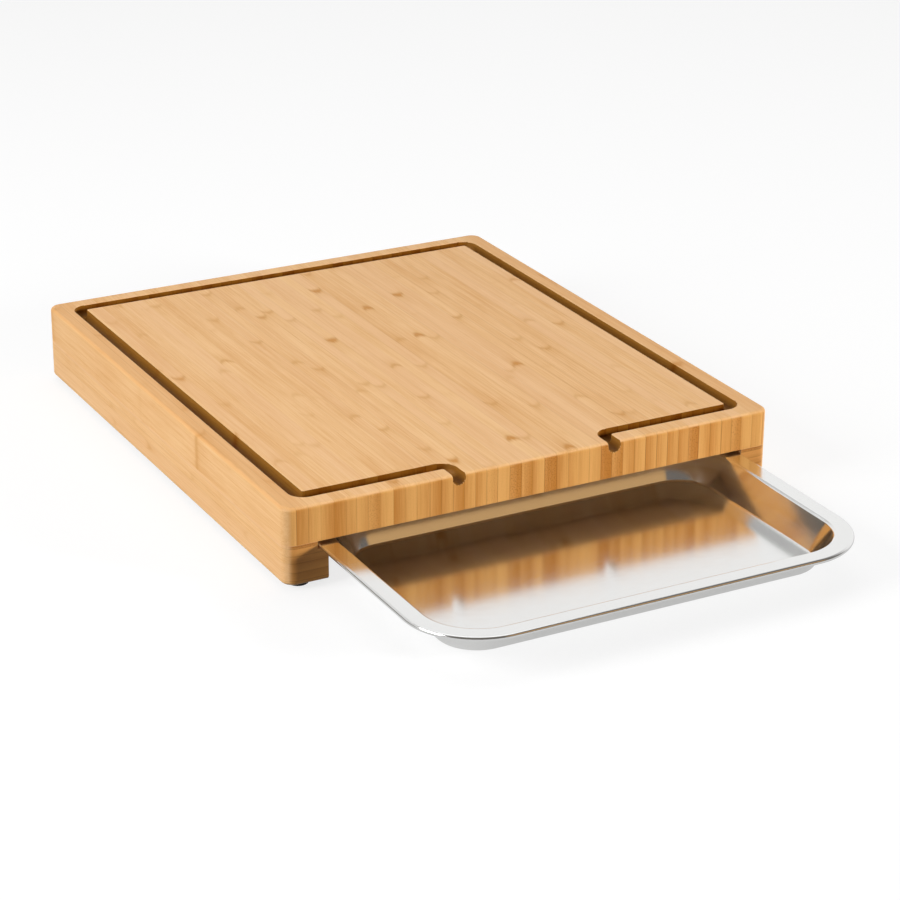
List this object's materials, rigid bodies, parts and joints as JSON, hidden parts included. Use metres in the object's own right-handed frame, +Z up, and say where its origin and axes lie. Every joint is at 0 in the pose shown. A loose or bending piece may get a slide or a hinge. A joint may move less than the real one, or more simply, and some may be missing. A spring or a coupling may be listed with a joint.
{
  "type": "cutting board with drip tray",
  "caption": "Rectangular bamboo cutting board with a juice groove that runs out at the front, on rails that hold a pressed steel drip tray sliding out like a drawer.",
  "frame": {"origin": "under the middle of the whole object with its tray pulled out as at rest, in the plane that its feet stand on", "axes": "+X to the right seen from the front, where the tray slides out; +Y from the front to the back; +Z up"},
  "size_m": [0.34, 0.545, 0.0535],
  "materials": {
    "bamboo": "oiled bamboo, satin",
    "tray_steel": "fine brushed satin stainless sheet",
    "foot_rubber": "matt black",
    "screw_steel": "plain bright"
  },
  "bodies": {
    "board": {"cutting_slab": "bamboo", "left_rail": "bamboo", "right_rail": "bamboo", "back_rail": "bamboo", "feet": "foot_rubber", "foot_screws": "screw_steel"},
    "tray": {"drip_tray": "tray_steel"}
  },
  "joints": [
    {"name": "tray_slide", "type": "slide", "parent": "board", "child": "tray", "axis": [0, -1, 0], "range_m": [-0.155, 0.012]}
  ]
}
